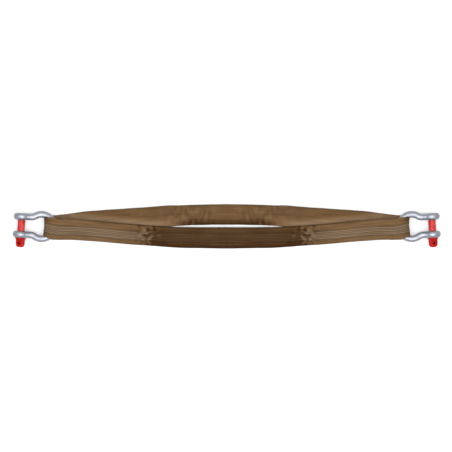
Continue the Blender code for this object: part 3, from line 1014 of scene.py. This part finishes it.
def woven_polyester():
    """The sleeve: brown weave, six grey-beige ribs along the outer face, streaks, and painted shade and
    light.
    """
    s = Shader("woven_polyester_brown")
    space = s.node("Attribute", attribute_name="sling_space").outputs["Vector"]
    dark = s.node("Attribute", attribute_name="shade").outputs["Fac"]
    split = s.node("SeparateXYZ", (space,)).outputs
    across, level = split[1], split[2]

    streak = s.noise(s.stretched(space, (9.0, 260.0, 260.0)), 1.0, 3.0, 0.6)
    mottle = s.noise(s.stretched(space, (30.0, 60.0, 60.0)), 1.0, 3.0, 0.55)
    thread = s.noise(s.stretched(space, (60.0, 900.0, 900.0)), 1.0, 2.0)

    # Painted shade darkens the brown and painted light pales it, following the shade attribute, with some
    # random tone in both.
    painted_shade_and_tone = s.node("Clamp", (dark, 0.0, 1.0)).outputs[0]
    painted_light_and_tone = s.node("Clamp", (s.math("MULTIPLY", dark, -1.0), 0.0, 1.0)).outputs[0]
    brown = s.mix(painted_shade_and_tone, BROWN_LIGHT, BROWN_DARK)
    brown = s.mix(painted_light_and_tone, brown, BROWN_PAINTED_LIGHT_AND_PALE)
    dust = s.ramp(mottle, 0.5, 0.75, 0.0, 0.35)
    dusty = s.math("MULTIPLY", dust, s.ramp(painted_shade_and_tone, 0.2, 0.8, 1.0, 0.3))
    brown = s.mix(dusty, brown, BROWN_DUSTY)

    outer_face = s.ramp(level, 0.0, 3.0 * MM)
    away = s.math("ABSOLUTE", across)
    inside = s.ramp(away, STRIPE_ZONE - 2.0 * MM, STRIPE_ZONE - 0.6 * MM, 1.0, 0.0)
    zone = s.math("MULTIPLY", outer_face, inside)
    wave = s.math("COSINE", s.math("MULTIPLY", across, 2 * math.pi / STRIPE_PITCH))
    rib = s.ramp(wave, -0.35, 0.55)
    # The ribs darken with the painted shade too.
    greyed = s.mix(s.ramp(painted_shade_and_tone, 0.0, 0.85), RIB_LIGHT, RIB_DARK)
    striped = s.mix(s.math("MULTIPLY", zone, s.ramp(streak, 0.3, 0.7, 0.25, 0.6)), brown, greyed)
    striped = s.mix(s.math("MULTIPLY", zone, s.math("MULTIPLY", rib, 0.75)), striped, greyed)
    # Painted shade in the furrows between the ribs.
    furrow = s.math("MULTIPLY", zone, s.math("SUBTRACT", 1.0, rib))
    striped = s.mix(s.math("MULTIPLY", furrow, 0.65), striped, s.mix(0.5, brown, BROWN_DARK))
    border_gap = s.math("ABSOLUTE", s.math("SUBTRACT", away, STRIPE_ZONE - 0.6 * MM))
    border = s.math("MULTIPLY", outer_face, s.ramp(border_gap, 0.5 * MM, 2.4 * MM, 0.42, 0.0))
    striped = s.mix(border, striped, BROWN_EDGE)

    colour = s.tinted(striped, s.ramp(streak, 0.25, 0.75, 0.8, 1.16))
    weave = s.node("SeparateXYZ", (s.node("UVMap", uv_map="weave").outputs[0],)).outputs
    round_wave = s.math("SINE", s.math("MULTIPLY", weave[0], 2 * math.pi / WEFT_PITCH))
    along_wave = s.math("SINE", s.math("MULTIPLY", weave[1], 2 * math.pi / WARP_PITCH))
    cloth = s.math("MULTIPLY", round_wave, along_wave)
    colour = s.tinted(colour, s.ramp(cloth, -1.0, 1.0, 0.9, 1.06))

    normal = s.bump(cloth, 0.18 * MM)
    normal = s.bump(thread, 0.25 * MM, normal)
    normal = s.bump(streak, 0.7 * MM, normal)
    roughness = s.ramp(mottle, 0.3, 0.7, 0.78, 0.94)
    return s.finish(colour, roughness, normal, Specular_IOR_Level=0.06)


def galvanised():
    """Hot-dip zinc: faint spangles, dull patches, painted light on the flanks and the slight unevenness of a
    forging.
    """
    s = Shader("galvanised_forging")
    place = s.node("TexCoord").outputs["Object"]
    spangle = s.node("TexVoronoi", feature="F1")
    s.feed(spangle.inputs["Vector"], place)
    spangle.inputs["Scale"].default_value = 190.0
    tone = s.node("SeparateColor", (spangle.outputs["Color"],)).outputs[0]
    patch = s.noise(place, 45.0, 4.0, 0.6)
    grain = s.noise(place, 900.0, 2.0)
    lumps = s.noise(place, 130.0, 3.0)
    colour = s.mix(tone, ZINC_BRIGHT, ZINC_COOL)
    colour = s.mix(s.ramp(patch, 0.5, 0.72, 0.0, 0.55), colour, ZINC_DULL)
    facing = s.node("SeparateXYZ", (s.node("TexCoord").outputs["Normal"],)).outputs[2]
    # Painted light on the flanks, set by which way the surface faces.
    side = s.ramp(s.math("ABSOLUTE", facing), 0.3, 0.85, 0.7, 0.0)
    colour = s.mix(side, colour, ZINC_FLANK_PAINTED_LIGHT)
    roughness = s.math("ADD", s.ramp(patch, 0.35, 0.7, 0.34, 0.48), s.math("MULTIPLY", tone, 0.06))
    normal = s.bump(lumps, 0.35 * MM)
    normal = s.bump(grain, 0.05 * MM, normal)
    return s.finish(colour, roughness, normal, Metallic=1.0, Specular_Tint=ZINC_RIM)


def red_paint():
    """Red paint: bare on the thread's crests and in nicks, with a painted highlight on the shank and painted
    shade in the hole.
    """
    s = Shader("red_paint_on_steel")
    place = s.node("TexCoord").outputs["Object"]
    x, y, z = s.node("SeparateXYZ", (place,)).outputs
    radius = s.distance(x, y)
    tone = s.noise(place, 60.0, 4.0, 0.6)
    peel = s.noise(place, 420.0, 2.0)
    chips = s.noise(place, 300.0, 4.0, 0.7)
    thread_start = EAR_V + EAR_HALF - THREAD_LONG
    on_thread = s.ramp(z, thread_start - 2 * MM, thread_start + 1 * MM)
    crest = s.ramp(radius, PIN_R - 0.9 * MM, PIN_R - 0.35 * MM)
    worn = s.math("MULTIPLY", s.math("MULTIPLY", on_thread, crest), s.ramp(chips, 0.42, 0.58))
    nick = s.math("MULTIPLY", s.ramp(chips, 0.7, 0.74), s.ramp(radius, PIN_R, COLLAR_R))
    bare = s.math("MAXIMUM", worn, nick)
    colour = s.mix(s.ramp(tone, 0.35, 0.7), RED_DEEP, RED_BRIGHT)
    # Painted highlight along the shank, glossier there too.
    shank = s.math("MULTIPLY", s.ramp(z, -EAR_V, -EAR_V + EAR_HALF), s.ramp(z, -EAR_V, EAR_V, 1.0, 0.45))
    colour = s.mix(s.math("MULTIPLY", shank, s.ramp(tone, 0.3, 0.7, 0.35, 0.8)), colour, RED_PAINTED_HIGHLIGHT)
    # Painted shade in the head's hole, which is also rougher.
    from_hole = s.distance(x, s.math("ADD", z, HEAD_HOLE_FROM_COLLAR - COLLAR_END))
    hole_shade = s.ramp(from_hole, HEAD_HOLE_R + 0.1 * MM, HEAD_HOLE_R + 0.8 * MM, 0.95, 0.0)
    colour = s.mix(hole_shade, colour, RED_HOLE_SHADE)
    colour = s.mix(bare, colour, BARE_STEEL)
    roughness = s.math("SUBTRACT", s.ramp(tone, 0.3, 0.7, 0.38, 0.46), s.math("MULTIPLY", shank, 0.2))
    roughness = s.math("MAXIMUM", roughness, hole_shade)
    normal = s.bump(peel, 0.05 * MM)
    normal = s.bump(tone, 0.15 * MM, normal)
    s.feed(s.surface.inputs["Metallic"], s.math("MULTIPLY", bare, 0.9))
    return s.finish(colour, roughness, normal, Specular_IOR_Level=0.14)


def plain_floor():
    """A pale floor that glows a little, so that it stays as bright as in the photograph."""
    s = Shader("pale_floor")
    place = s.node("TexCoord").outputs["Object"]
    tone = s.ramp(s.noise(place, 3.0, 2.0), 0.3, 0.7, 0.57, 0.59)
    colour = s.node("CombineColor", (tone,) * 3).outputs[0]
    glow = {"Emission_Color": grey(1.0), "Emission_Strength": FLOOR_GLOW}
    return s.finish(colour, 0.9, None, Specular_IOR_Level=0.1, **glow)


# ---------- stage ----------

def build_stage():
    """A wide pale floor, a surround that is bright overhead and dim at the sides, and a large soft lamp."""
    mesh = bpy.data.meshes.new("floor")
    reach = 6.0
    corners = [(-reach, -reach), (reach, -reach), (reach, reach), (-reach, reach)]
    mesh.from_pydata([(x, y, FLOOR_LEVEL) for x, y in corners], [], [(0, 1, 2, 3)])
    mesh.materials.append(plain_floor())
    in_scene("floor", mesh)

    world = bpy.data.worlds.new("studio")
    bpy.context.scene.world = world
    world.use_nodes = True
    tree = world.node_tree
    place = tree.nodes.new("ShaderNodeTexCoord")
    split = tree.nodes.new("ShaderNodeSeparateXYZ")
    height = tree.nodes.new("ShaderNodeMapRange")
    background = tree.nodes["Background"]
    tree.links.new(place.outputs["Generated"], split.inputs[0])
    tree.links.new(split.outputs["Z"], height.inputs["Value"])
    tree.links.new(height.outputs["Result"], background.inputs["Strength"])
    height.inputs["From Min"].default_value = 0.0
    height.inputs["From Max"].default_value = 0.8
    height.inputs["To Min"].default_value = SKY_LOW
    height.inputs["To Max"].default_value = SKY_HIGH
    background.inputs["Color"].default_value = grey(1.0)

    lamp = bpy.data.lights.new("soft_lamp", "AREA")
    lamp.shape = "RECTANGLE"
    lamp.size, lamp.size_y = 2.6, 1.2
    lamp.energy = LAMP_POWER
    holder = in_scene("soft_lamp", lamp)
    holder.location = LAMP_PLACE
    holder.rotation_euler = (-Vector(LAMP_PLACE)).to_track_quat("-Z", "Y").to_euler()


def build_camera():
    """Straight above the sling, far off, with the sling's length across the picture."""
    data = bpy.data.cameras.new("camera")
    data.sensor_width = 36.0
    data.lens = data.sensor_width * (CAMERA_HEIGHT - VIEW_LEVEL) / VIEW_WIDE
    data.clip_end = 50.0
    camera = in_scene("camera", data)
    camera.location = (*VIEW_CENTRE, CAMERA_HEIGHT)
    bpy.context.scene.camera = camera


# Colours, and the pitches of the sleeve's weave.
BROWN_LIGHT = under_light(141, 108, 72)
# Painted shade darkens the cloth towards this brown.
BROWN_DARK = under_light(78, 49, 22)
# Painted light pales the cloth towards this brown.
BROWN_PAINTED_LIGHT_AND_PALE = under_light(168, 138, 106)
BROWN_DUSTY = under_light(148, 122, 96)
BROWN_EDGE = under_light(58, 34, 12)
RIB_LIGHT = under_light(164, 142, 120)
RIB_DARK = under_light(100, 74, 50)
WEFT_PITCH, WARP_PITCH = 1.7 * MM, 1.3 * MM
ZINC_BRIGHT = under_light(232, 235, 244, 2.45)
ZINC_COOL = under_light(212, 217, 232, 2.45)
ZINC_DULL = under_light(188, 193, 208, 2.45)
# The pale zinc of the painted light on the flanks.
ZINC_FLANK_PAINTED_LIGHT = under_light(246, 246, 255, 2.1)
ZINC_RIM = (0.2, 0.22, 0.26, 1.0)
RED_BRIGHT = under_light(222, 26, 14, 1.9)
RED_DEEP = under_light(188, 10, 8, 1.9)
# The pink of the painted highlight on the shank.
RED_PAINTED_HIGHLIGHT = under_light(244, 98, 94, 1.9)
# The dark red of the painted shade in the head's hole.
RED_HOLE_SHADE = under_light(60, 4, 0, 1.9)
BARE_STEEL = under_light(150, 140, 135, 1.9)

# The studio.
SKY_LOW, SKY_HIGH = 0.2, 1.65
FLOOR_LEVEL = -0.05 * MM
FLOOR_GLOW = 0.3
LAMP_POWER = 52.0
LAMP_PLACE = (0.0, -0.5, 2.6)
CAMERA_HEIGHT = 6.0
VIEW_LEVEL = 20.0 * MM
VIEW_WIDE = 1491.6 * MM
VIEW_CENTRE = (-2.3 * MM, 1.65 * MM)

build_camera()
build_stage()
bpy.context.scene.view_settings.view_transform = "Standard"
build_sling(woven_polyester())
build_shackles(galvanised(), red_paint())
